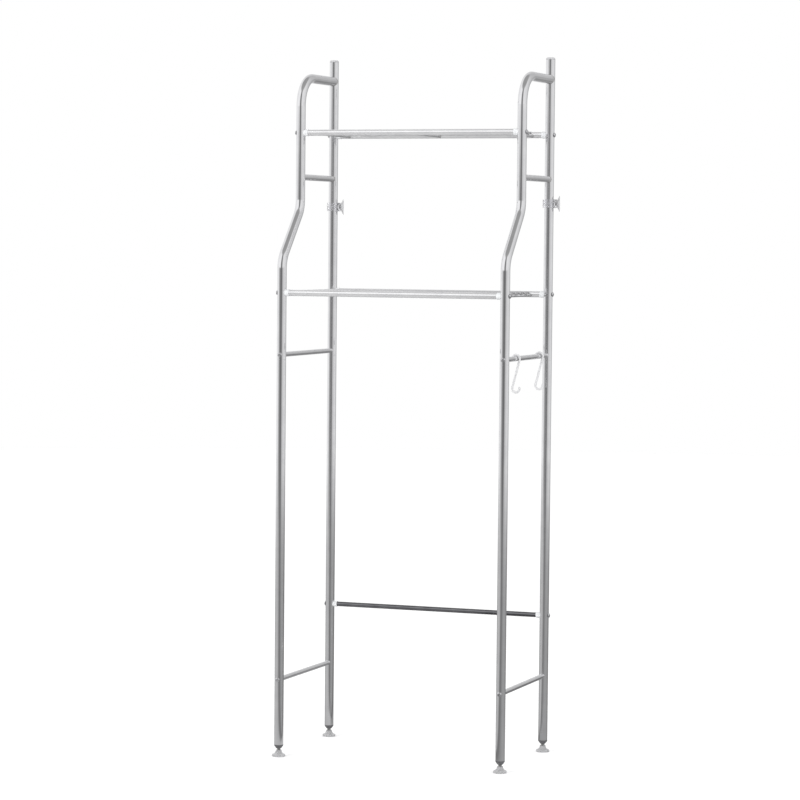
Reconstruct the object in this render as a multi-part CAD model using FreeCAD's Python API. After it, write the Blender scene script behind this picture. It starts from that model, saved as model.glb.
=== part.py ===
import FreeCAD, Part
import math
import os

# Over the toilet storage rack: two ladder-like side frames of bent round tube, two wire shelves
# bolted between them, a low cross bar behind the toilet, screw-in levelling feet, suction cups
# clipped round the rear posts and two S-hooks on the right mid rung.
# Millimetres. X runs across the rack, -Y is the front, +Y is the wall side and Z = 0 is the floor.
# The origin lies on the floor, midway between the four feet.

# Frame proportions, measured between centre lines
POST_SPACING = 480.0
FOOT_DEPTH = 274.0
UPPER_DEPTH = 180.0

# Heights above the floor
POST_TOP = 1434.0
TOP_BAR_Z = 1393.0
UPPER_SHELF_Z = 1279.0
UPPER_RUNG_Z = 1188.0
LEFT_CLIP_Z = 1129.0
RIGHT_CLIP_Z = 1138.0
SETBACK_Z = 1071.0
LOWER_SHELF_Z = 951.0
MID_RUNG_Z = 825.0
SEAM_Z = 815.0
CROSS_BAR_Z = 285.0
LOWER_RUNG_Z = 159.0
LEG_BOTTOM = 24.0

# Round tubes and wires
POST_RADIUS = 9.5
POST_WALL = 1.0
POST_BORE = POST_RADIUS - POST_WALL
SETBACK_BEND = 50.0
SETBACK_ANGLE = 42.0
TOP_BEND = 60.0
RAIL_RADIUS = 6.35
RUNG_RADIUS = 5.0
THIN_WALL = 0.8
SHELF_BAR_RADIUS = 3.0
SHELF_WIRE_RADIUS = 2.5
RIM_EASE = 0.4

# Joint sleeves inside the seam between upper posts and legs
SLEEVE_LENGTH = 70.0
SLEEVE_WALL = 1.5

# M5 button head screws and the inserts that they hold
SCREW_RADIUS = 2.5
SCREW_HOLE = 2.7
HEAD_RADIUS = 4.75
HEAD_HEIGHT = 2.75
HEAD_RIM = 0.7
SOCKET_FLATS = 3.0
SOCKET_DEPTH = 1.5
SHELF_BOLT_LENGTH = 40.0
RUNG_SCREW_LENGTH = 30.0
RAIL_INSERT_LENGTH = 15.0
RUNG_INSERT_LENGTH = 13.0

# Saddles between the posts and the bars that are bolted to them
SADDLE_START = 5.0
SADDLE_END = 17.0
RAIL_SADDLE_RADIUS = 7.0
CROSS_BAR_SADDLE_RADIUS = 6.0

# Shelf decks
UPPER_WIRES = 5
LOWER_WIRES = 8
END_BAR_INSET = 20.0
WIRE_OVERHANG = 8.0
SHELF_BAR_DROP = 2.0

# Post caps
CAP_HEIGHT = 4.0
CAP_PLUG = 14.0

# Levelling feet
PLUG_TIP_Z = 17.0
PLUG_TIP_RADIUS = 5.5
PLUG_DEPTH = 28.0
STUD_RADIUS = 4.0
STUD_TOP = 48.0
STUD_CLEARANCE = 0.06
THREAD_PITCH = 1.25
THREAD_DEPTH = 0.6
COLLAR_RADIUS = 6.0
COLLAR_BOTTOM = 2.8
COLLAR_HEIGHT = 2.2
POCKET_GAP = 0.3
PAD_RADIUS = 13.5
PAD_RIM = 4.5
PAD_TOP = 13.0
PAD_NECK_RADIUS = 6.0

# Wall clips
RING_RADIUS = 13.0
RING_HEIGHT = 17.0
RING_CLEARANCE = 0.06
BOSS_RADIUS = 9.0
BOSS_END = 15.5
CUP_STEM_RADIUS = 3.0
CUP_STEM_START = 12.0
CUP_NECK_RADIUS = 7.5
CUP_RADIUS = 16.0
CUP_REACH = 22.0
CUP_LIP = 1.2
CUP_RIM = 1.6
CUP_HOLLOW = 2.5
CUP_ANGLE = 20.0

# S-hooks
HOOK_WIRE_RADIUS = 2.3
HOOK_LOOP_GAP = 0.4
HOOK_LOOP_SPACING = 60.0
HOOK_TIP_ANGLE = 20.0
HOOKS = (("front", -65.0), ("rear", 84.0))

ACROSS = FreeCAD.Vector(1, 0, 0)
REARWARD = FreeCAD.Vector(0, 1, 0)
UP = FreeCAD.Vector(0, 0, 1)
ORIGIN = FreeCAD.Vector(0, 0, 0)

REAR_Y = FOOT_DEPTH / 2
FRONT_Y = -FOOT_DEPTH / 2
UPPER_FRONT_Y = REAR_Y - UPPER_DEPTH
SIDES = (("left", -1), ("right", 1))
ROWS = (("front", FRONT_Y), ("rear", REAR_Y))

BAR_END = POST_SPACING / 2 - SADDLE_END


def save(name, solids):
    """Write one piece, or a group of identical pieces, to its own file."""
    shape = solids[0] if len(solids) == 1 else Part.makeCompound(solids)
    shape.exportStep(f"parts/{name}.step")


def at(x, y, z):
    return FreeCAD.Vector(x, y, z)


def post_x(side_sign):
    return side_sign * POST_SPACING / 2


def rod(start, end, radius):
    run = end - start
    return Part.makeCylinder(radius, run.Length, start, run)


def tube(start, end, radius, wall):
    return rod(start, end, radius).cut(rod(start, end, radius - wall))


def turned(start, steps):
    """Turn an outline about Z. Points are (radius, height); a step is the next point, or a pair of
    points for an arc: one on the way and its end."""
    edges = []
    here = at(start[0], 0, start[1])
    for step in list(steps) + [start]:
        if isinstance(step[0], tuple):
            middle, there = (at(r, 0, h) for r, h in step)
            edges.append(Part.Arc(here, middle, there).toShape())
        else:
            there = at(step[0], 0, step[1])
            edges.append(Part.makeLine(here, there))
        here = there
    return Part.Face(Part.Wire(edges)).revolve(ORIGIN, UP, 360)


def placed(shape, base, direction):
    """Move a piece made at the origin along Z so that its Z points along the direction."""
    moved = shape.copy()
    moved.Placement = FreeCAD.Placement(base, FreeCAD.Rotation(UP, direction))
    return moved


def rounded_path(corners, radii):
    """Straight runs through the corners, with each inner corner rounded to its radius."""
    edges = []
    start = corners[0]
    for before, corner, after, radius in zip(corners, corners[1:], corners[2:], radii):
        heading_in = (corner - before).normalize()
        heading_out = (after - corner).normalize()
        half_turn = heading_in.getAngle(heading_out) / 2
        tangent_length = radius * math.tan(half_turn)
        corner_gap = radius / math.cos(half_turn) - radius
        arc_start = corner - heading_in * tangent_length
        arc_end = corner + heading_out * tangent_length
        arc_middle = corner + (heading_out - heading_in).normalize() * corner_gap
        edges.append(Part.makeLine(start, arc_start))
        edges.append(Part.Arc(arc_start, arc_middle, arc_end).toShape())
        start = arc_end
    edges.append(Part.makeLine(start, corners[-1]))
    return Part.Wire(edges)


def swept(path, radius):
    """A solid round bar along a path."""
    first = path.Edges[0]
    heading = first.tangentAt(first.FirstParameter)
    ring = Part.Wire(Part.makeCircle(radius, first.valueAt(first.FirstParameter), heading))
    return path.makePipeShell([ring], True, False)


def ease_rim(shape, centre):
    """Take the sharp edge off the outer rim of the tube end at a point."""
    rims = []
    for edge in shape.Edges:
        is_circle = isinstance(edge.Curve, Part.Circle)
        if is_circle and abs(edge.Curve.Radius - POST_RADIUS) < 0.01:
            if (edge.Curve.Center - centre).Length < 0.01:
                rims.append(edge)
    return shape.makeChamfer(RIM_EASE, rims)


def button_screw(length):
    """An M5 hex socket button head screw: shank down Z from the seat, head above it."""
    shape = turned(
        (0, -length),
        [
            (SCREW_RADIUS - RIM_EASE, -length),
            (SCREW_RADIUS, RIM_EASE - length),
            (SCREW_RADIUS, 0),
            (HEAD_RADIUS, 0),
            (HEAD_RADIUS, HEAD_RIM),
            ((HEAD_RADIUS * 0.8, HEAD_HEIGHT * 0.72), (HEAD_RADIUS * 0.42, HEAD_HEIGHT)),
            (0, HEAD_HEIGHT),
        ],
    )
    corner_radius = SOCKET_FLATS / 2 / math.cos(math.radians(30))
    corners = []
    for k in range(7):
        angle = math.radians(60 * k)
        corners.append(
            at(corner_radius * math.cos(angle), corner_radius * math.sin(angle), HEAD_HEIGHT)
        )
    socket = Part.Face(Part.makePolygon(corners)).extrude(UP * -SOCKET_DEPTH)
    return shape.cut(socket)


def screw_into(post_point, inward, length):
    """A screw through a post, with its head on the far side from what it holds."""
    return placed(button_screw(length), post_point - inward * POST_RADIUS, inward * -1)


def drilled(shape, point, axis):
    """Drill a screw hole right through a post."""
    reach = axis * (2 * POST_RADIUS)
    return shape.cut(rod(point - reach, point + reach, SCREW_HOLE))


def post_solid(x, y):
    """The outside of a post as a plain bar, used to shape what meets it."""
    return rod(at(x, y, LEG_BOTTOM), at(x, y, POST_TOP), POST_RADIUS)


def make_upper_posts(side, x):
    rise = (UPPER_FRONT_Y - FRONT_Y) / math.tan(math.radians(SETBACK_ANGLE))
    corners = [
        at(x, FRONT_Y, SEAM_Z),
        at(x, FRONT_Y, SETBACK_Z - rise / 2),
        at(x, UPPER_FRONT_Y, SETBACK_Z + rise / 2),
        at(x, UPPER_FRONT_Y, TOP_BAR_Z),
        at(x, REAR_Y, TOP_BAR_Z),
    ]
    path = rounded_path(corners, (SETBACK_BEND, SETBACK_BEND, TOP_BEND))
    front = swept(path, POST_RADIUS).cut(swept(path, POST_BORE)).cut(post_solid(x, REAR_Y))
    front = ease_rim(front, corners[0])
    front = drilled(front, at(x, UPPER_FRONT_Y, UPPER_SHELF_Z), ACROSS)
    front = drilled(front, at(x, FRONT_Y, LOWER_SHELF_Z), ACROSS)
    front = drilled(front, at(x, FRONT_Y, MID_RUNG_Z), REARWARD)
    save(f"{side}_front_upper_post", [front])

    foot = at(x, REAR_Y, SEAM_Z)
    rear = tube(foot, at(x, REAR_Y, POST_TOP), POST_RADIUS, POST_WALL)
    rear = ease_rim(rear, foot)
    rear = drilled(rear, at(x, REAR_Y, UPPER_SHELF_Z), ACROSS)
    rear = drilled(rear, at(x, REAR_Y, LOWER_SHELF_Z), ACROSS)
    rear = drilled(rear, at(x, REAR_Y, MID_RUNG_Z), REARWARD)
    save(f"{side}_rear_upper_post", [rear])


def make_leg(side, row, x, y):
    top = at(x, y, SEAM_Z)
    leg = ease_rim(tube(at(x, y, LEG_BOTTOM), top, POST_RADIUS, POST_WALL), top)
    leg = drilled(leg, at(x, y, LOWER_RUNG_Z), REARWARD)
    if row == "rear":
        leg = drilled(leg, at(x, y, CROSS_BAR_Z), ACROSS)
    save(f"{side}_{row}_leg", [leg])

    half = UP * (SLEEVE_LENGTH / 2)
    sleeve = tube(top - half, top + half, POST_BORE, SLEEVE_WALL)
    sleeve = drilled(sleeve, at(x, y, MID_RUNG_Z), REARWARD)
    save(f"{side}_{row}_joint_sleeve", [sleeve])


def make_post_cap(side, x):
    cap = turned(
        (0, -CAP_PLUG),
        [
            (POST_BORE - RIM_EASE, -CAP_PLUG),
            (POST_BORE, RIM_EASE - CAP_PLUG),
            (POST_BORE, 0),
            (POST_RADIUS, 0),
            (POST_RADIUS, CAP_HEIGHT * 0.4),
            ((POST_RADIUS * 0.9, CAP_HEIGHT * 0.75), (POST_RADIUS * 0.6, CAP_HEIGHT)),
            (0, CAP_HEIGHT),
        ],
    )
    save(f"{side}_post_cap", [placed(cap, at(x, REAR_Y, POST_TOP), UP)])


def make_rungs(side, x):
    """The welded upper rung and the two screwed rungs, with the inserts and screws of those."""
    weld_front = at(x, UPPER_FRONT_Y, UPPER_RUNG_Z)
    weld_rear = at(x, REAR_Y, UPPER_RUNG_Z)
    upper = tube(weld_front, weld_rear, RAIL_RADIUS, THIN_WALL)
    upper = upper.cut(post_solid(x, UPPER_FRONT_Y)).cut(post_solid(x, REAR_Y))
    save(f"{side}_upper_rung", [upper])

    rung_bore = RUNG_RADIUS - THIN_WALL
    inserts = []
    screws = []
    for name, z in (("mid", MID_RUNG_Z), ("lower", LOWER_RUNG_Z)):
        rung = tube(at(x, FRONT_Y, z), at(x, REAR_Y, z), RUNG_RADIUS, THIN_WALL)
        rung = rung.cut(post_solid(x, FRONT_Y)).cut(post_solid(x, REAR_Y))
        save(f"{side}_{name}_rung", [rung])
        for y, inward in ((FRONT_Y, REARWARD), (REAR_Y, REARWARD * -1)):
            centre = at(x, y, z)
            inner_end = centre + inward * (POST_RADIUS + RUNG_INSERT_LENGTH)
            insert = tube(centre, inner_end, rung_bore, rung_bore - SCREW_RADIUS)
            inserts.append(insert.cut(post_solid(x, y)))
            screws.append(screw_into(centre, inward, RUNG_SCREW_LENGTH))
    return inserts, screws


def make_bolted_bar(name, y, z, radius, saddle_radius):
    """A bar across the rack and what holds it: an insert, a saddle and a bolt at each end."""
    bar = tube(at(-BAR_END, y, z), at(BAR_END, y, z), radius, THIN_WALL)
    save(name, [bar])
    inserts = []
    saddles = []
    bolts = []
    for _, sign in SIDES:
        inward = ACROSS * -sign
        centre = at(post_x(sign), y, z)
        bar_tip = centre + inward * SADDLE_END
        insert_end = bar_tip + inward * RAIL_INSERT_LENGTH
        bore = radius - THIN_WALL
        inserts.append(tube(bar_tip, insert_end, bore, bore - SCREW_RADIUS))
        saddle_start = centre + inward * SADDLE_START
        saddle = tube(saddle_start, bar_tip, saddle_radius, saddle_radius - SCREW_HOLE)
        saddles.append(saddle.cut(post_solid(post_x(sign), y)))
        bolts.append(screw_into(centre, inward, SHELF_BOLT_LENGTH))
    return inserts, saddles, bolts


def make_shelf(level, z, front_y, wire_count):
    groups = []
    for row, y in (("front", front_y), ("rear", REAR_Y)):
        rail_name = f"{level}_shelf_{row}_rail"
        groups.append(make_bolted_bar(rail_name, y, z, RAIL_RADIUS, RAIL_SADDLE_RADIUS))
    inserts, saddles, bolts = (front + rear for front, rear in zip(*groups))
    save(f"{level}_shelf_rail_inserts", inserts)
    save(f"{level}_shelf_saddles", saddles)
    save(f"{level}_shelf_bolts", bolts)

    bar_z = z - SHELF_BAR_DROP
    end_bar_x = BAR_END - END_BAR_INSET
    rails = [rod(at(-BAR_END, y, z), at(BAR_END, y, z), RAIL_RADIUS) for y in (front_y, REAR_Y)]
    bars = []
    for bar_x in (-end_bar_x, 0, end_bar_x):
        bar = rod(at(bar_x, front_y, bar_z), at(bar_x, REAR_Y, bar_z), SHELF_BAR_RADIUS)
        bars.append(bar.cut(rails[0]).cut(rails[1]))
    save(f"{level}_shelf_cross_bars", bars)

    wire_z = bar_z + SHELF_BAR_RADIUS + SHELF_WIRE_RADIUS
    wire_end = end_bar_x + WIRE_OVERHANG
    pitch = (REAR_Y - front_y) / (wire_count + 1)
    wires = []
    for k in range(wire_count):
        wire_y = front_y + pitch * (k + 1)
        wires.append(rod(at(-wire_end, wire_y, wire_z), at(wire_end, wire_y, wire_z), SHELF_WIRE_RADIUS))
    save(f"{level}_shelf_wires", wires)


def leg_plug():
    """Plug in the foot of a leg: a tapered nose below the tube and a threaded bore through it."""
    bore = STUD_RADIUS + STUD_CLEARANCE
    return turned(
        (bore, PLUG_TIP_Z),
        [
            (PLUG_TIP_RADIUS, PLUG_TIP_Z),
            (POST_RADIUS, LEG_BOTTOM - 1.5),
            (POST_RADIUS, LEG_BOTTOM),
            (POST_BORE, LEG_BOTTOM),
            (POST_BORE, LEG_BOTTOM + PLUG_DEPTH),
            (bore, LEG_BOTTOM + PLUG_DEPTH),
        ],
    )


def foot_stud():
    """Threaded stud, with a collar at its foot that turns inside the pad."""
    collar_top = COLLAR_BOTTOM + COLLAR_HEIGHT
    steps = [(COLLAR_RADIUS, COLLAR_BOTTOM), (COLLAR_RADIUS, collar_top), (STUD_RADIUS, collar_top)]
    z = PAD_TOP
    steps.append((STUD_RADIUS, z))
    while z + THREAD_PITCH < STUD_TOP:
        steps.append((STUD_RADIUS - THREAD_DEPTH, z + THREAD_PITCH / 2))
        z += THREAD_PITCH
        steps.append((STUD_RADIUS, z))
    steps.append((STUD_RADIUS - THREAD_DEPTH, STUD_TOP))
    steps.append((0, STUD_TOP))
    return turned((0, COLLAR_BOTTOM), steps)


def foot_pad():
    """Bell-shaped pad, snapped over the stud's collar."""
    pocket_top = COLLAR_BOTTOM + COLLAR_HEIGHT + POCKET_GAP
    pocket_radius = COLLAR_RADIUS + POCKET_GAP
    neck_bore = STUD_RADIUS + POCKET_GAP
    return turned(
        (0, 0),
        [
            (PAD_RADIUS - 1.0, 0),
            ((PAD_RADIUS - 0.3, 0.3), (PAD_RADIUS, 1.0)),
            (PAD_RADIUS, PAD_RIM - 1.0),
            ((PAD_RADIUS - 0.3, PAD_RIM - 0.3), (PAD_RADIUS - 1.0, PAD_RIM)),
            ((PAD_NECK_RADIUS + 2.2, PAD_RIM + 2.6), (PAD_NECK_RADIUS, PAD_TOP)),
            (neck_bore, PAD_TOP),
            (neck_bore, pocket_top),
            (pocket_radius, pocket_top),
            (pocket_radius, COLLAR_BOTTOM - POCKET_GAP),
            (0, COLLAR_BOTTOM - POCKET_GAP),
        ],
    )


def make_foot(side, row, x, y):
    base = at(x, y, 0)
    save(f"{side}_{row}_leg_plug", [placed(leg_plug(), base, UP)])
    save(f"{side}_{row}_foot_stud", [placed(foot_stud(), base, UP)])
    save(f"{side}_{row}_foot_pad", [placed(foot_pad(), base, UP)])


def make_wall_clip(side, x, z):
    """A ring round the rear post with a suction cup pressed into its boss."""
    bottom = at(0, 0, -RING_HEIGHT / 2)
    top = at(0, 0, RING_HEIGHT / 2)
    bore = rod(bottom * 2, top * 2, POST_RADIUS + RING_CLEARANCE)
    boss = rod(ORIGIN, ACROSS * BOSS_END, BOSS_RADIUS)
    stem_hole = rod(ACROSS * CUP_STEM_START, ACROSS * BOSS_END, CUP_STEM_RADIUS)
    ring = rod(bottom, top, RING_RADIUS).fuse(boss).cut(bore).cut(stem_hole)

    hollow_rim = CUP_RADIUS - CUP_RIM
    hollow_sphere = (hollow_rim**2 + CUP_HOLLOW**2) / (2 * CUP_HOLLOW)
    half_rise = hollow_sphere - math.sqrt(hollow_sphere**2 - (hollow_rim / 2) ** 2)
    cup = turned(
        (0, CUP_STEM_START),
        [
            (CUP_STEM_RADIUS, CUP_STEM_START),
            (CUP_STEM_RADIUS, BOSS_END),
            (CUP_NECK_RADIUS, BOSS_END),
            (CUP_NECK_RADIUS, BOSS_END + 1.0),
            ((CUP_RADIUS * 0.72, CUP_REACH - CUP_LIP - 1.9), (CUP_RADIUS, CUP_REACH - CUP_LIP)),
            (CUP_RADIUS, CUP_REACH),
            (hollow_rim, CUP_REACH),
            (
                (hollow_rim / 2, CUP_REACH - CUP_HOLLOW + half_rise),
                (0, CUP_REACH - CUP_HOLLOW),
            ),
        ],
    )
    turn = FreeCAD.Rotation(UP, CUP_ANGLE)
    place = FreeCAD.Placement(at(x, REAR_Y, z), turn)
    for name, shape in (("wall_clip_ring", ring), ("suction_cup", placed(cup, ORIGIN, ACROSS))):
        shape.Placement = place.multiply(shape.Placement)
        save(f"{side}_{name}", [shape])


def s_hook(pivot):
    """An S-hook hanging on a rung at the pivot: two equal loops, one right under the other."""
    loop_radius = RUNG_RADIUS + HOOK_LOOP_GAP + HOOK_WIRE_RADIUS
    middle = pivot - UP * (HOOK_LOOP_SPACING / 2)
    lean = math.asin(loop_radius / (HOOK_LOOP_SPACING / 2))
    tip_angle = math.radians(180 + HOOK_TIP_ANGLE)
    ends = []
    for sign in (1, -1):
        centre = middle + UP * (sign * HOOK_LOOP_SPACING / 2)
        tangent = centre + at(math.cos(lean), 0, -math.sin(lean)) * (sign * loop_radius)
        tip = centre + at(math.cos(tip_angle), 0, math.sin(tip_angle)) * (sign * loop_radius)
        crown = centre + UP * (sign * loop_radius)
        ends.append((tip, crown, tangent))
    (upper_tip, upper_crown, upper_tangent), (lower_tip, lower_crown, lower_tangent) = ends
    path = Part.Wire(
        [
            Part.Arc(upper_tip, upper_crown, upper_tangent).toShape(),
            Part.makeLine(upper_tangent, lower_tangent),
            Part.Arc(lower_tangent, lower_crown, lower_tip).toShape(),
        ]
    )
    wire = swept(path, HOOK_WIRE_RADIUS)
    for tip in (upper_tip, lower_tip):
        wire = wire.fuse(Part.makeSphere(HOOK_WIRE_RADIUS, tip))
    return wire


os.makedirs("parts", exist_ok=True)

rung_inserts = []
rung_screws = []
for (side, sign), clip_z in zip(SIDES, (LEFT_CLIP_Z, RIGHT_CLIP_Z)):
    x = post_x(sign)
    make_upper_posts(side, x)
    make_post_cap(side, x)
    make_wall_clip(side, x, clip_z)
    side_inserts, side_screws = make_rungs(side, x)
    rung_inserts += side_inserts
    rung_screws += side_screws
    for row, y in ROWS:
        make_leg(side, row, x, y)
        make_foot(side, row, x, y)
save("rung_end_inserts", rung_inserts)
save("rung_screws", rung_screws)

make_shelf("upper", UPPER_SHELF_Z, UPPER_FRONT_Y, UPPER_WIRES)
make_shelf("lower", LOWER_SHELF_Z, FRONT_Y, LOWER_WIRES)

cross_bar_parts = make_bolted_bar(
    "rear_cross_bar", REAR_Y, CROSS_BAR_Z, RUNG_RADIUS, CROSS_BAR_SADDLE_RADIUS
)
for name, solids in zip(("inserts", "saddles", "bolts"), cross_bar_parts):
    save(f"rear_cross_bar_{name}", solids)

for row, y in HOOKS:
    save(f"{row}_roll_hook", [s_hook(at(post_x(1), y, MID_RUNG_Z))])
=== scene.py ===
import math

import bpy
from mathutils import Matrix, Vector


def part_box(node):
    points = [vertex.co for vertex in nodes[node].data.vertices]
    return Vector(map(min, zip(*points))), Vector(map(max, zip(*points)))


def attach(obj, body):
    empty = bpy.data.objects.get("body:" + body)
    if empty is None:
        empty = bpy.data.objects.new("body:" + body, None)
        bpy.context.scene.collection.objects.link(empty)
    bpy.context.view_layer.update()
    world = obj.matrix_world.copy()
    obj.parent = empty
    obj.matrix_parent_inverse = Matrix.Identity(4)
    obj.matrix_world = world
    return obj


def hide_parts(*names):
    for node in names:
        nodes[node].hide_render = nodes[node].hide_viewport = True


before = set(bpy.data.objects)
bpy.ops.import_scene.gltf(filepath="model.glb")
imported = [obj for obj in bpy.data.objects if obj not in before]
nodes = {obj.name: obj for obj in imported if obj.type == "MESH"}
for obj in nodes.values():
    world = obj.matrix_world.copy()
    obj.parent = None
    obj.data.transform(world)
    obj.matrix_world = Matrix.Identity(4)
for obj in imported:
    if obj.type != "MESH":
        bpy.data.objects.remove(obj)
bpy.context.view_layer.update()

MM = 0.001
SIDES = ("left", "right")
ROWS = ("front", "rear")
TURN = 2 * math.pi


# ---------------------------------------------------------------- materials

def new_material(name):
    material = bpy.data.materials.new(name)
    material.use_nodes = True
    tree = material.node_tree
    shader = tree.nodes["Principled BSDF"]
    return material, tree, shader


def noise(tree, scale, detail):
    """Noise over the object's own coordinates, in features per metre."""
    coords = tree.nodes.new("ShaderNodeTexCoord")
    texture = tree.nodes.new("ShaderNodeTexNoise")
    texture.inputs["Scale"].default_value = scale
    texture.inputs["Detail"].default_value = detail
    tree.links.new(coords.outputs["Object"], texture.inputs["Vector"])
    return texture.outputs["Fac"]


def spread(tree, source, low, high, start=0.3, end=0.7):
    """Map the middle of a noise onto a range of values."""
    node = tree.nodes.new("ShaderNodeMapRange")
    node.inputs["From Min"].default_value = start
    node.inputs["From Max"].default_value = end
    node.inputs["To Min"].default_value = low
    node.inputs["To Max"].default_value = high
    tree.links.new(source, node.inputs["Value"])
    return node.outputs["Result"]


def tinted(tree, source, dark, light, start=0.3, end=0.7):
    """Blend between two near colours with a noise."""
    ramp = tree.nodes.new("ShaderNodeValToRGB")
    ramp.color_ramp.elements[0].position = start
    ramp.color_ramp.elements[0].color = (*dark, 1)
    ramp.color_ramp.elements[1].position = end
    ramp.color_ramp.elements[1].color = (*light, 1)
    tree.links.new(source, ramp.inputs["Fac"])
    return ramp.outputs["Color"]


def grain(tree, shader, source, strength, depth):
    bump = tree.nodes.new("ShaderNodeBump")
    bump.inputs["Strength"].default_value = strength
    bump.inputs["Distance"].default_value = depth
    tree.links.new(source, bump.inputs["Height"])
    tree.links.new(bump.outputs["Normal"], shader.inputs["Normal"])


def metal(name, dark, light, rough, smudge_scale, grain_scale, grain_depth, metallic=1.0):
    material, tree, shader = new_material(name)
    shader.inputs["Metallic"].default_value = metallic
    smudges = noise(tree, smudge_scale, 5)
    tree.links.new(tinted(tree, smudges, dark, light), shader.inputs["Base Color"])
    tree.links.new(spread(tree, smudges, rough[1], rough[0]), shader.inputs["Roughness"])
    grain(tree, shader, noise(tree, grain_scale, 2), 0.25, grain_depth)
    return material


def plastic(name, dark, light, rough, grain_depth, clear=0.0, ior=1.49, soft=0.0):
    material, tree, shader = new_material(name)
    shader.inputs["IOR"].default_value = ior
    shader.inputs["Transmission Weight"].default_value = clear
    shader.inputs["Subsurface Weight"].default_value = soft
    shader.inputs["Subsurface Radius"].default_value = (0.004, 0.004, 0.004)
    shader.inputs["Subsurface Scale"].default_value = 1.0
    clouds = noise(tree, 140, 4)
    tree.links.new(tinted(tree, clouds, dark, light), shader.inputs["Base Color"])
    tree.links.new(spread(tree, clouds, rough[0], rough[1]), shader.inputs["Roughness"])
    grain(tree, shader, noise(tree, 2600, 2), 0.2, grain_depth)
    return material


SURFACES = {
    "chrome_tube": metal(
        "polished_chrome", (0.81, 0.81, 0.82), (0.88, 0.88, 0.885), (0.035, 0.10), 38, 900, 2e-5
    ),
    "satin_chrome": metal(
        "satin_chrome", (0.84, 0.84, 0.85), (0.90, 0.90, 0.905), (0.13, 0.21), 38, 900, 2e-5,
        metallic=0.74,
    ),
    # A darker copy of the polished chrome: painted shade for the low rear cross bar.
    "shaded_chrome": metal(
        "chrome_with_painted_shade", (0.17, 0.17, 0.18), (0.25, 0.25, 0.26), (0.06, 0.14), 38, 900, 2e-5
    ),
    "chrome_wire": metal(
        "chromed_wire", (0.79, 0.79, 0.80), (0.87, 0.87, 0.875), (0.06, 0.14), 60, 1400, 2e-5
    ),
    "weld": metal(
        "plated_weld", (0.50, 0.49, 0.47), (0.68, 0.67, 0.66), (0.20, 0.36), 420, 1900, 1.2e-4
    ),
    "steel_sleeve": metal(
        "bare_steel", (0.42, 0.42, 0.43), (0.56, 0.56, 0.57), (0.30, 0.45), 120, 1500, 4e-5
    ),
    "stainless_screw": metal(
        "stainless_screw", (0.62, 0.62, 0.63), (0.74, 0.74, 0.75), (0.22, 0.36), 300, 2400, 3e-5
    ),
    "zinc_stud": metal(
        "zinc_plated_stud", (0.52, 0.52, 0.51), (0.66, 0.66, 0.65), (0.22, 0.36), 260, 2400, 3e-5
    ),
    "insert_brass": metal(
        "insert_brass", (0.62, 0.46, 0.22), (0.74, 0.58, 0.30), (0.22, 0.34), 200, 1800, 3e-5
    ),
    "saddle_plastic": plastic(
        "white_saddle_plastic", (0.66, 0.67, 0.68), (0.74, 0.75, 0.76), (0.26, 0.40), 4e-5, soft=0.2
    ),
    "hook_plastic": plastic(
        "white_hook_plastic", (0.60, 0.60, 0.61), (0.66, 0.66, 0.67), (0.18, 0.30), 3e-5, soft=0.1
    ),
    "clip_plastic": plastic(
        "clear_clip_plastic", (0.93, 0.93, 0.95), (0.97, 0.97, 0.98), (0.03, 0.08), 1e-5,
        clear=0.88, ior=1.30,
    ),
    "cup_vinyl": plastic(
        "frosted_cup_vinyl", (0.60, 0.60, 0.61), (0.66, 0.66, 0.67), (0.30, 0.42), 2e-5,
        clear=0.10, ior=1.40,
    ),
    "pad_plastic": plastic(
        "frosted_pad_plastic", (0.54, 0.54, 0.55), (0.60, 0.60, 0.61), (0.22, 0.36), 4e-5,
        clear=0.40, ior=1.45,
    ),
    "plug_plastic": plastic(
        "dark_plug_plastic", (0.085, 0.085, 0.09), (0.13, 0.13, 0.135), (0.30, 0.46), 5e-5
    ),
    "cap_plastic": plastic(
        "grey_cap_plastic", (0.44, 0.44, 0.45), (0.52, 0.52, 0.53), (0.28, 0.42), 4e-5
    ),
}


# ---------------------------------------------------------------- mesh tools

def build(name, surface, body, vertices, faces, crease=34.0, replaces=()):
    """A smooth-shaded piece from points in millimetres, riding on its body."""
    mesh = bpy.data.meshes.new(name)
    mesh.from_pydata([Vector(v) * MM for v in vertices], [], faces)
    mesh.shade_smooth()
    mesh.set_sharp_from_angle(angle=math.radians(crease))
    mesh.materials.append(SURFACES[surface])
    piece = bpy.data.objects.new(name, mesh)
    bpy.context.scene.collection.objects.link(piece)
    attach(piece, body)
    if replaces:
        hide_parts(*replaces)
    return piece


def carried(path):
    """Tangent and two side directions at each point of a path, carried along without twist."""
    tangents = []
    for k, point in enumerate(path):
        before = path[max(k - 1, 0)]
        after = path[min(k + 1, len(path) - 1)]
        heading = Vector((0, 0, 0))
        if k > 0:
            heading += (point - before).normalized()
        if k < len(path) - 1:
            heading += (after - point).normalized()
        tangents.append(heading.normalized())
    side = tangents[0].orthogonal().normalized()
    frames = []
    for tangent in tangents:
        side = (side - tangent * side.dot(tangent)).normalized()
        frames.append((tangent, side, tangent.cross(side)))
    return frames


def grid_faces(first, rows, around, closed=False):
    faces = []
    for i in range(rows if closed else rows - 1):
        for j in range(around):
            a = first + i * around + j
            b = first + i * around + (j + 1) % around
            c = first + (i + 1) % rows * around + (j + 1) % around
            d = first + (i + 1) % rows * around + j
            faces.append((a, b, c, d))
    return faces


def rings(path, radii, around):
    """A ring of points round each point of a path."""
    points = []
    for point, radius, (_, side, up) in zip(path, radii, carried(path)):
        for j in range(around):
            angle = TURN * j / around
            points.append(point + (side * math.cos(angle) + up * math.sin(angle)) * radius)
    return points


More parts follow.
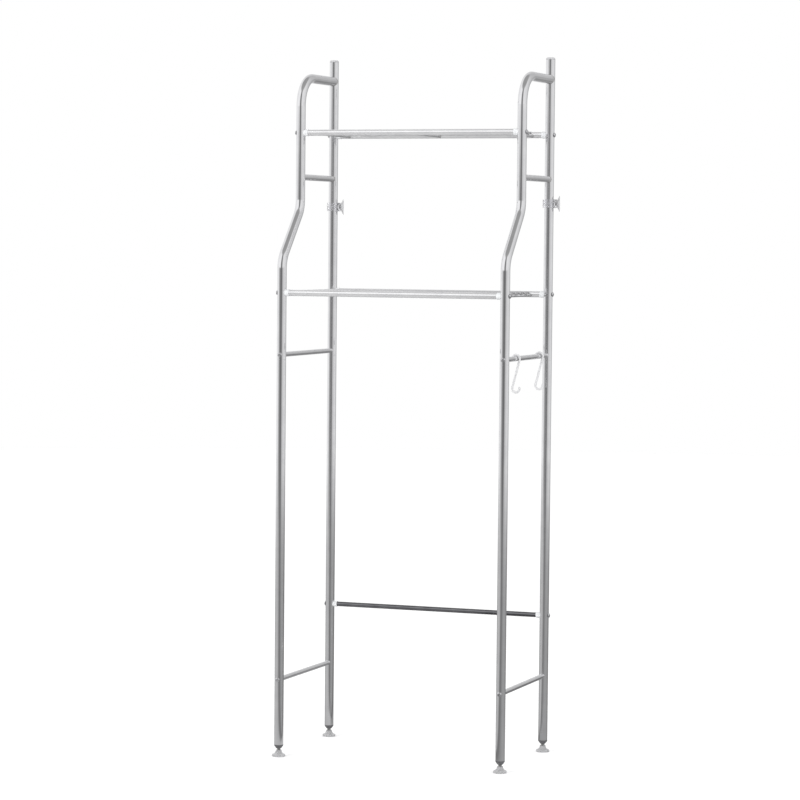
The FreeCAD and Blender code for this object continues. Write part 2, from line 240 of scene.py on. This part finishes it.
def tube_mesh(path, radius, wall, ease, around=56):
    """A hollow tube with eased rims: out along the outside and back along the bore."""
    start = path[0]
    end = path[-1]
    into = (path[1] - start).normalized()
    back = (path[-2] - end).normalized()
    outside = [start, start + into * ease] + list(path[1:-1]) + [end + back * ease, end]
    outer = [radius - ease] + [radius] * (len(path)) + [radius - ease]
    inner = [radius - wall] * len(path)
    vertices = rings(outside, outer, around) + rings(path, inner, around)
    rows = len(outside)
    faces = grid_faces(0, rows, around)
    bore_start = rows * around
    faces += [tuple(reversed(f)) for f in grid_faces(bore_start, len(path), around)]
    for j in range(around):
        k = (j + 1) % around
        faces.append((k, j, bore_start + j, bore_start + k))
        outer_end = (rows - 1) * around
        inner_end = bore_start + (len(path) - 1) * around
        faces.append((outer_end + j, outer_end + k, inner_end + k, inner_end + j))
    return vertices, faces


def wire_mesh(path, radius, around=32, dome=0.5, dome_rows=5):
    """A solid wire whose cut ends are rounded over."""
    start = path[0]
    end = path[-1]
    into = (path[1] - start).normalized()
    back = (path[-2] - end).normalized()
    depth = radius * dome
    angles = [math.pi / 2 * k / dome_rows for k in range(dome_rows)]
    head = [start + into * depth * (1 - math.cos(angle)) for angle in angles]
    tail = [end + back * depth * (1 - math.cos(angle)) for angle in angles]
    dome_radii = [radius * max(math.sin(angle), 0.08) for angle in angles]
    middle = [start + into * depth] + list(path[1:-1]) + [end + back * depth]
    whole = head + middle + tail[::-1]
    sizes = dome_radii + [radius] * len(middle) + dome_radii[::-1]
    vertices = rings(whole, sizes, around)
    faces = grid_faces(0, len(whole), around)
    faces.append(tuple(reversed(range(around))))
    last = (len(whole) - 1) * around
    faces.append(tuple(last + j for j in range(around)))
    return vertices, faces


def joined(meshes):
    vertices = []
    faces = []
    for more_vertices, more_faces in meshes:
        offset = len(vertices)
        vertices += more_vertices
        faces += [tuple(offset + i for i in face) for face in more_faces]
    return vertices, faces


def node_box(node):
    low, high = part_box(node)
    return low / MM, high / MM


def long_axis(low, high):
    size = high - low
    return max(range(3), key=lambda i: size[i])


def node_line(node):
    """The two ends and the radius of a straight round bar, from its box."""
    low, high = node_box(node)
    axis = long_axis(low, high)
    centre = (low + high) / 2
    start = centre.copy()
    end = centre.copy()
    start[axis] = low[axis]
    end[axis] = high[axis]
    across = (axis + 1) % 3
    return start, end, (high[across] - low[across]) / 2


def arc(centre, radius, start, end, steps, toward, upward):
    """Points of an arc in the plane of two directions; angles in degrees."""
    points = []
    for k in range(steps + 1):
        angle = math.radians(start + (end - start) * k / steps)
        points.append(centre + (toward * math.cos(angle) + upward * math.sin(angle)) * radius)
    return points


def rounded(corners, radii, steps):
    """Straight runs through the corners with arcs at the inner ones."""
    points = [corners[0]]
    for before, corner, after, radius in zip(corners, corners[1:], corners[2:], radii):
        inward = (corner - before).normalized()
        onward = (after - corner).normalized()
        turn = inward.angle(onward)
        reach = radius * math.tan(turn / 2)
        first = corner - inward * reach
        side = (onward - inward * onward.dot(inward)).normalized()
        centre = first + side * radius
        points += arc(centre, radius, 0, math.degrees(turn), steps, -side, inward)
    points.append(corners[-1])
    return points


# ---------------------------------------------------------------- tubes and wires

TUBE_WALL = 1.0
THIN_WALL = 0.8
RIM_EASE = 0.4

POST_BENDS = (50.0, 50.0, 60.0)
SETBACK_Z = 1071.0
TOP_BAR_Z = 1393.0
SETBACK_ANGLE = 42.0


def straight_tube(node, wall, ease, surface="chrome_tube"):
    start, end, radius = node_line(node)
    vertices, faces = tube_mesh([start, end], radius, wall, ease)
    build(f"{node}_tube", surface, "rack_frame", vertices, faces, replaces=[node])


def bent_post(side):
    """The front upper post: up, back over the shelf setback, up again and over as the top bar."""
    node = f"{side}_front_upper_post"
    low, high = node_box(node)
    rear_low, rear_high = node_box(f"{side}_rear_upper_post")
    x = (low.x + high.x) / 2
    radius = (high.x - low.x) / 2
    front_y = low.y + radius
    rear_y = (rear_low.y + rear_high.y) / 2
    upper_y = node_line("upper_shelf_front_rail")[0].y
    rise = (upper_y - front_y) / math.tan(math.radians(SETBACK_ANGLE))
    corners = [
        Vector((x, front_y, low.z)),
        Vector((x, front_y, SETBACK_Z - rise / 2)),
        Vector((x, upper_y, SETBACK_Z + rise / 2)),
        Vector((x, upper_y, TOP_BAR_Z)),
        Vector((x, rear_y - 2, TOP_BAR_Z)),
    ]
    path = rounded(corners, POST_BENDS, 22)
    vertices, faces = tube_mesh(path, radius, TUBE_WALL, RIM_EASE)
    build(f"{node}_tube", "chrome_tube", "rack_frame", vertices, faces, replaces=[node])
    return x, rear_y, radius


for side in SIDES:
    for row in ROWS:
        straight_tube(f"{side}_{row}_leg", TUBE_WALL, RIM_EASE)
    straight_tube(f"{side}_rear_upper_post", TUBE_WALL, RIM_EASE)
    straight_tube(f"{side}_upper_rung", THIN_WALL, 0.1)
    straight_tube(f"{side}_mid_rung", THIN_WALL, 0.1)
    straight_tube(f"{side}_lower_rung", THIN_WALL, 0.1)

# The rear cross bar takes the darker chrome copy, which is painted shade.
straight_tube("rear_cross_bar", THIN_WALL, 0.2, "shaded_chrome")
for level in ("upper", "lower"):
    for row in ROWS:
        straight_tube(f"{level}_shelf_{row}_rail", THIN_WALL, 0.2, "satin_chrome")

DECKS = {"upper": 5, "lower": 8}


def row_of_wires(node, count, axis, dome):
    """Equal parallel wires that fill a node's box."""
    low, high = node_box(node)
    across = 1 - axis
    radius = (high.z - low.z) / 2
    pitch = (high[across] - low[across] - 2 * radius) / (count - 1)
    meshes = []
    centres = []
    for k in range(count):
        start = (low + high) / 2
        start[across] = low[across] + radius + pitch * k
        end = start.copy()
        start[axis] = low[axis]
        end[axis] = high[axis]
        meshes.append(wire_mesh([start, end], radius, dome=dome))
        centres.append((start + end) / 2)
    vertices, faces = joined(meshes)
    build(f"{node}_drawn", "chrome_wire", "rack_frame", vertices, faces, replaces=[node])
    return centres, radius


deck_bars = {}
deck_wires = {}
for level, count in DECKS.items():
    deck_bars[level] = row_of_wires(f"{level}_shelf_cross_bars", 3, 1, 0.1)
    deck_wires[level] = row_of_wires(f"{level}_shelf_wires", count, 0, 0.8)


# ---------------------------------------------------------------- welds

def bead_mesh(points, radius, ripples):
    """A closed weld bead along a loop of points, with the ripples that a torch leaves."""
    around = 10
    count = len(points)
    vertices = []
    for i, point in enumerate(points):
        before = points[i - 1]
        after = points[(i + 1) % count]
        tangent = (after - before).normalized()
        side = (Vector((0, 1, 0)) - tangent * tangent.y).normalized()
        up = tangent.cross(side)
        swell = radius * (1 + 0.16 * math.sin(ripples * TURN * i / count))
        for j in range(around):
            angle = TURN * j / around
            vertices.append(point + (side * math.cos(angle) + up * math.sin(angle)) * swell)
    return vertices, grid_faces(0, count, around, closed=True)


def saddle_loop(bar_x, bar_z, radius, reach, steps=120):
    """Where a bar along Y meets a round surface: reach gives the surface's y at (x, z)."""
    points = []
    for k in range(steps):
        angle = TURN * k / steps
        x = bar_x + radius * math.cos(angle)
        z = bar_z + radius * math.sin(angle)
        points.append(Vector((x, reach(x, z), z)))
    return points


def post_surface(post_x, post_y, radius, toward):
    return lambda x, z: post_y + toward * math.sqrt(radius**2 - (x - post_x) ** 2)


def rail_surface(rail_y, rail_z, radius, toward):
    return lambda x, z: rail_y + toward * math.sqrt(radius**2 - (z - rail_z) ** 2)


frame_welds = []
for side in SIDES:
    x, rear_y, radius = bent_post(side)
    rung_low, rung_high = node_box(f"{side}_upper_rung")
    rung_z = (rung_low.z + rung_high.z) / 2
    rung_radius = (rung_high.z - rung_low.z) / 2
    upper_y = node_line("upper_shelf_front_rail")[0].y
    top_loop = saddle_loop(x, TOP_BAR_Z, radius - 0.25, post_surface(x, rear_y, radius, -1))
    frame_welds.append(bead_mesh(top_loop, 0.9, 44))
    for post_y, toward in ((upper_y, 1), (rear_y, -1)):
        loop = saddle_loop(x, rung_z, rung_radius, post_surface(x, post_y, radius, toward))
        frame_welds.append(bead_mesh(loop, 0.8, 34))
vertices, faces = joined(frame_welds)
build("side_frame_welds", "weld", "rack_frame", vertices, faces, crease=80)


def nugget_mesh(centre, size, squeeze, seed):
    """A small squashed resistance weld between two crossed wires."""
    around = 14
    rows = 7
    vertices = []
    for i in range(rows):
        height = -1 + 2 * (i + 0.5) / rows
        reach = size * math.sqrt(1 - height**2)
        for j in range(around):
            angle = TURN * j / around
            swell = 1 + 0.10 * math.sin(3 * angle + seed) + 0.06 * math.sin(5 * angle + 2 * seed)
            x = math.cos(angle) * reach * swell
            y = math.sin(angle) * reach * swell
            vertices.append(centre + Vector((x, y, height * squeeze)))
    faces = grid_faces(0, rows, around)
    faces.append(tuple(reversed(range(around))))
    faces.append(tuple((rows - 1) * around + j for j in range(around)))
    return vertices, faces


for level in DECKS:
    bars, bar_radius = deck_bars[level]
    wires, wire_radius = deck_wires[level]
    welds = []
    for row, toward in (("front", 1), ("rear", -1)):
        rail_start, _, rail_radius = node_line(f"{level}_shelf_{row}_rail")
        for bar in bars:
            surface = rail_surface(rail_start.y, rail_start.z, rail_radius, toward)
            loop = saddle_loop(bar.x, bar.z, bar_radius, surface, 72)
            welds.append(bead_mesh(loop, 0.6, 18))
    for i, bar in enumerate(bars):
        for j, wire in enumerate(wires):
            centre = Vector((bar.x, wire.y, bar.z + bar_radius))
            welds.append(nugget_mesh(centre, 2.3, 0.9, i * 1.7 + j * 0.9))
    vertices, faces = joined(welds)
    build(f"{level}_shelf_welds", "weld", "rack_frame", vertices, faces, crease=80)


# ---------------------------------------------------------------- hooks

HOOK_WIRE = 2.3
HOOK_LOOP = 7.7
HOOK_SPACING = 60.0
HOOK_TIP = 20.0


def hook_path(pivot):
    """Two equal loops, one right under the other, joined by a leaning straight."""
    across = Vector((1, 0, 0))
    up = Vector((0, 0, 1))
    lean = math.degrees(math.asin(HOOK_LOOP / (HOOK_SPACING / 2)))
    upper = pivot
    lower = pivot - up * HOOK_SPACING
    first = arc(upper, HOOK_LOOP, 180 + HOOK_TIP, -lean, 44, across, up)
    second = arc(lower, HOOK_LOOP, 180 - lean, 360 + HOOK_TIP, 44, across, up)
    return first + second


for row in ROWS:
    node = f"{row}_roll_hook"
    low, high = node_box(node)
    rung_low, rung_high = node_box("right_mid_rung")
    pivot = (rung_low + rung_high) / 2
    pivot.y = (low.y + high.y) / 2
    vertices, faces = wire_mesh(hook_path(pivot), HOOK_WIRE, around=32, dome=1.0)
    build(f"{node}_bent", "hook_plastic", f"{row}_hook", vertices, faces, replaces=[node])


# ---------------------------------------------------------------- levelling studs

THREAD_PITCH = 1.25
THREAD_DEPTH = 0.6
THREAD_CLEARANCE = 0.02
STUD_RADIUS = 4.0
NECK_INSET = 0.3
NECK_TOP = 13.0
COLLAR_RADIUS = 6.0
COLLAR_HEIGHT = 2.2
COLLAR_RIM = 0.4


def stud_mesh(x, y, low, high):
    """A stud with a helical thread above the plain neck and the collar that the pad holds."""
    around = 40
    outline = [
        (0.6, low),
        (COLLAR_RADIUS - COLLAR_RIM, low),
        (COLLAR_RADIUS, low + COLLAR_RIM),
        (COLLAR_RADIUS, low + COLLAR_HEIGHT - COLLAR_RIM),
        (COLLAR_RADIUS - COLLAR_RIM, low + COLLAR_HEIGHT),
        (STUD_RADIUS - NECK_INSET, low + COLLAR_HEIGHT),
        (STUD_RADIUS - NECK_INSET, NECK_TOP - 1.0),
    ]
    vertices = []
    for radius, z in outline:
        for j in range(around):
            angle = TURN * j / around
            vertices.append(Vector((x + radius * math.cos(angle), y + radius * math.sin(angle), z)))
    steps = int((high - NECK_TOP) / THREAD_PITCH * 8)
    for i in range(steps + 1):
        z = NECK_TOP + (high - NECK_TOP) * i / steps
        ends = max(0.0, min(1.0, (high - z) / 1.2, (z - NECK_TOP) / 0.8 + 0.2))
        for j in range(around):
            angle = TURN * j / around
            phase = (z / THREAD_PITCH - j / around) % 1.0
            depth = THREAD_DEPTH * min(1.0, abs(2 * phase - 1) * 1.15)
            radius = STUD_RADIUS - THREAD_CLEARANCE - depth * ends - THREAD_DEPTH * (1 - ends)
            vertices.append(Vector((x + radius * math.cos(angle), y + radius * math.sin(angle), z)))
    rows = len(outline) + steps + 1
    faces = grid_faces(0, rows, around)
    faces.append(tuple(reversed(range(around))))
    faces.append(tuple((rows - 1) * around + j for j in range(around)))
    return vertices, faces


for side in SIDES:
    for row in ROWS:
        node = f"{side}_{row}_foot_stud"
        low, high = node_box(node)
        centre = (low + high) / 2
        vertices, faces = stud_mesh(centre.x, centre.y, low.z, high.z)
        build(f"{node}_threaded", "zinc_stud", f"{side}_{row}_stud", vertices, faces, 50, [node])


# ---------------------------------------------------------------- pieces kept from the frame

def node_surface(name):
    if name.endswith(("_bolts", "_screws")):
        return "stainless_screw"
    if name.endswith("_inserts"):
        return "insert_brass"
    if name.endswith("_saddles"):
        return "saddle_plastic"
    if name.endswith("_joint_sleeve"):
        return "steel_sleeve"
    if name.endswith("_leg_plug"):
        return "plug_plastic"
    if name.endswith("_foot_pad"):
        return "pad_plastic"
    if name.endswith("_post_cap"):
        return "cap_plastic"
    if name.endswith("_wall_clip_ring"):
        return "clip_plastic"
    if name.endswith("_suction_cup"):
        return "cup_vinyl"
    return "chrome_tube"


for name, node in nodes.items():
    surface = SURFACES[node_surface(name)]
    if not node.material_slots:
        node.data.materials.append(surface)
    for slot in node.material_slots:
        slot.material = surface


# ---------------------------------------------------------------- floor, light and camera

FLOOR_RADIUS = 9.0

# What the chrome sees round the room, by azimuth in degrees: 0 looks from the rack along -Y and
# 90 along +X. The dark stretch is the unlit end of the studio, where the camera stands.
ROOM = (
    (-180, 0.58), (-150, 0.66), (-118, 0.86), (-84, 0.96), (-64, 0.80), (-48, 0.54),
    (-30, 0.32), (-10, 0.18), (14, 0.16), (27, 0.30), (42, 0.58), (72, 0.74), (104, 0.78),
    (128, 0.76), (146, 0.54), (160, 0.40), (172, 0.46), (180, 0.58),
)
SOFTBOXES = (
    (-180, 0.62), (-130, 0.85), (-60, 0.98), (-18, 0.98), (-8, 0.40), (0, 0.20), (16, 0.20),
    (26, 0.50), (38, 0.85), (70, 0.85), (110, 0.78), (140, 0.62), (160, 0.52), (180, 0.62),
)
# Levels by azimuth that the floor near the rack glows with for glossy rays: a painted reflection,
# darker where the rack's lower parts should look shaded.
FLOOR_PAINTED_REFLECTION = (
    (-180, 0.30), (-140, 0.36), (-95, 0.50), (-60, 0.54), (-22, 0.46), (-8, 0.28), (2, 0.20),
    (18, 0.20), (34, 0.28), (62, 0.36), (110, 0.34), (142, 0.22), (160, 0.15), (180, 0.30),
)
ZENITH = 0.36


class Nodes:
    """Short hand for building a node tree."""

    def __init__(self, tree):
        self.tree = tree

    def put(self, kind, inputs=(), **settings):
        node = self.tree.nodes.new(kind)
        for name, value in settings.items():
            setattr(node, name, value)
        for name, value in dict(inputs).items():
            if isinstance(value, bpy.types.NodeSocket):
                self.tree.links.new(value, node.inputs[name])
            else:
                node.inputs[name].default_value = value
        return node.outputs

    def azimuth_ramp(self, x, y, stops):
        """A brightness that depends on the direction of (x, y)."""
        flipped = self.put("ShaderNodeMath", {0: y, 1: -1.0}, operation="MULTIPLY")[0]
        angle = self.put("ShaderNodeMath", {0: x, 1: flipped}, operation="ARCTAN2")[0]
        inputs = {0: angle, 1: 1 / TURN, 2: 0.5}
        share = self.put("ShaderNodeMath", inputs, operation="MULTIPLY_ADD")[0]
        ramp = self.put("ShaderNodeValToRGB", {"Fac": share})
        elements = ramp["Color"].node.color_ramp.elements
        while len(elements) > 1:
            elements.remove(elements[-1])
        for k, (degrees, level) in enumerate(stops):
            position = degrees / 360 + 0.5
            element = elements[0] if k == 0 else elements.new(position)
            element.position = position
            element.color = (level, level, level * 1.01, 1)
        return ramp["Color"]

    def fade(self, value, start, end):
        inputs = {"Value": value, "From Min": start, "From Max": end}
        return self.put("ShaderNodeMapRange", inputs, interpolation_type="SMOOTHSTEP")["Result"]

    def blend(self, share, first, second):
        inputs = {"Fac": share, "Color1": first, "Color2": second}
        return self.put("ShaderNodeMixRGB", inputs)["Color"]


def studio_floor():
    """A pale floor. It shines white, and to glossy rays it glows instead with a painted reflection:
    darker levels by azimuth near the rack, fading to the room further out.
    """
    count = 96
    ring = [(math.cos(TURN * k / count), math.sin(TURN * k / count), 0) for k in range(count)]
    mesh = bpy.data.meshes.new("studio_floor")
    mesh.from_pydata([Vector(v) * FLOOR_RADIUS for v in ring], [], [tuple(range(count))])
    material, tree, shader = new_material("pale_floor")
    shader.inputs["Base Color"].default_value = (0.92, 0.92, 0.92, 1)
    shader.inputs["Roughness"].default_value = 0.9
    shader.inputs["Specular IOR Level"].default_value = 0.1
    floor_nodes = Nodes(tree)
    coords = floor_nodes.put("ShaderNodeTexCoord")["Object"]
    axes = floor_nodes.put("ShaderNodeSeparateXYZ", {0: coords})
    room = floor_nodes.azimuth_ramp(axes["X"], axes["Y"], ROOM)
    near = floor_nodes.put("ShaderNodeVectorMath", {0: coords}, operation="LENGTH")["Value"]
    shade = floor_nodes.azimuth_ramp(axes["X"], axes["Y"], FLOOR_PAINTED_REFLECTION)
    level = floor_nodes.blend(floor_nodes.fade(near, 2.5, 9.0), shade, room)
    # Painted reflection: for glossy rays the floor is an emission, not a lit surface.
    seen = floor_nodes.put("ShaderNodeEmission", {"Color": level})["Emission"]
    glossy = floor_nodes.put("ShaderNodeLightPath")["Is Glossy Ray"]
    inputs = {0: glossy, 1: shader.outputs["BSDF"], 2: seen}
    mixed = floor_nodes.put("ShaderNodeMixShader", inputs)["Shader"]
    tree.links.new(mixed, tree.nodes["Material Output"].inputs["Surface"])
    mesh.materials.append(material)
    floor = bpy.data.objects.new("studio_floor", mesh)
    bpy.context.scene.collection.objects.link(floor)


def studio_world():
    """An even white dome lights the rack. The chrome sees softboxes, a dark end and a dim ceiling."""
    world = bpy.data.worlds.new("studio")
    bpy.context.scene.world = world
    world.use_nodes = True
    world.node_tree.nodes.clear()
    room = Nodes(world.node_tree)
    direction = room.put("ShaderNodeTexCoord")["Generated"]
    axes = room.put("ShaderNodeSeparateXYZ", {0: direction})
    walls = room.azimuth_ramp(axes["X"], axes["Y"], ROOM)
    boxes = room.azimuth_ramp(axes["X"], axes["Y"], SOFTBOXES)
    above = room.blend(room.fade(axes["Z"], 0.00, 0.12), walls, boxes)
    lower = room.blend(room.fade(axes["Z"], -0.10, -0.20), above, boxes)
    whole = room.blend(room.fade(axes["Z"], 0.74, 0.90), lower, (ZENITH, ZENITH, ZENITH, 1))
    seen = room.put("ShaderNodeBackground", {"Color": whole})["Background"]
    dome = room.put("ShaderNodeBackground", {"Color": (1.12, 1.12, 1.12, 1)})["Background"]
    white = room.put("ShaderNodeBackground", {"Color": (1, 1, 1, 1)})["Background"]
    path = room.put("ShaderNodeLightPath")
    inputs = {0: path["Is Glossy Ray"], 1: dome, 2: seen}
    lit = room.put("ShaderNodeMixShader", inputs)["Shader"]
    inputs = {0: path["Is Camera Ray"], 1: lit, 2: white}
    mixed = room.put("ShaderNodeMixShader", inputs)["Shader"]
    room.put("ShaderNodeOutputWorld", {"Surface": mixed})


def soft_light(name, place, target, size, power):
    lamp = bpy.data.lights.new(name, "AREA")
    lamp.shape = "DISK"
    lamp.size = size
    lamp.energy = power
    rig = bpy.data.objects.new(name, lamp)
    rig.location = place
    rig.rotation_euler = (Vector(target) - Vector(place)).to_track_quat("-Z", "Y").to_euler()
    rig.visible_glossy = False
    bpy.context.scene.collection.objects.link(rig)


def studio_camera():
    """The photograph's viewpoint: to the right of the rack, level with the lower shelf."""
    azimuth = math.radians(20.76)
    down = math.radians(3.04)
    roll = math.radians(-0.53)
    forward = Vector(
        (-math.sin(azimuth) * math.cos(down), math.cos(azimuth) * math.cos(down), -math.sin(down))
    )
    right = Vector((math.cos(azimuth), math.sin(azimuth), 0))
    up = right.cross(forward)
    level_right = right * math.cos(roll) - up * math.sin(roll)
    level_up = right * math.sin(roll) + up * math.cos(roll)
    camera = bpy.data.cameras.new("photo_camera")
    camera.lens = 135.0
    camera.sensor_width = 36.0
    camera.clip_end = 100.0
    rig = bpy.data.objects.new("photo_camera", camera)
    turn = Matrix((level_right, level_up, -forward)).transposed().to_4x4()
    rig.matrix_world = Matrix.Translation((2.153, -5.766, 1.059)) @ turn
    bpy.context.scene.collection.objects.link(rig)
    bpy.context.scene.camera = rig


studio_floor()
studio_world()
soft_light("key_light", (-2.6, -3.4, 3.6), (0, 0, 0.6), 2.2, 60)
soft_light("fill_light", (3.2, -2.2, 2.4), (0, 0, 0.7), 2.0, 25)
studio_camera()
bpy.context.scene.view_settings.view_transform = "Standard"
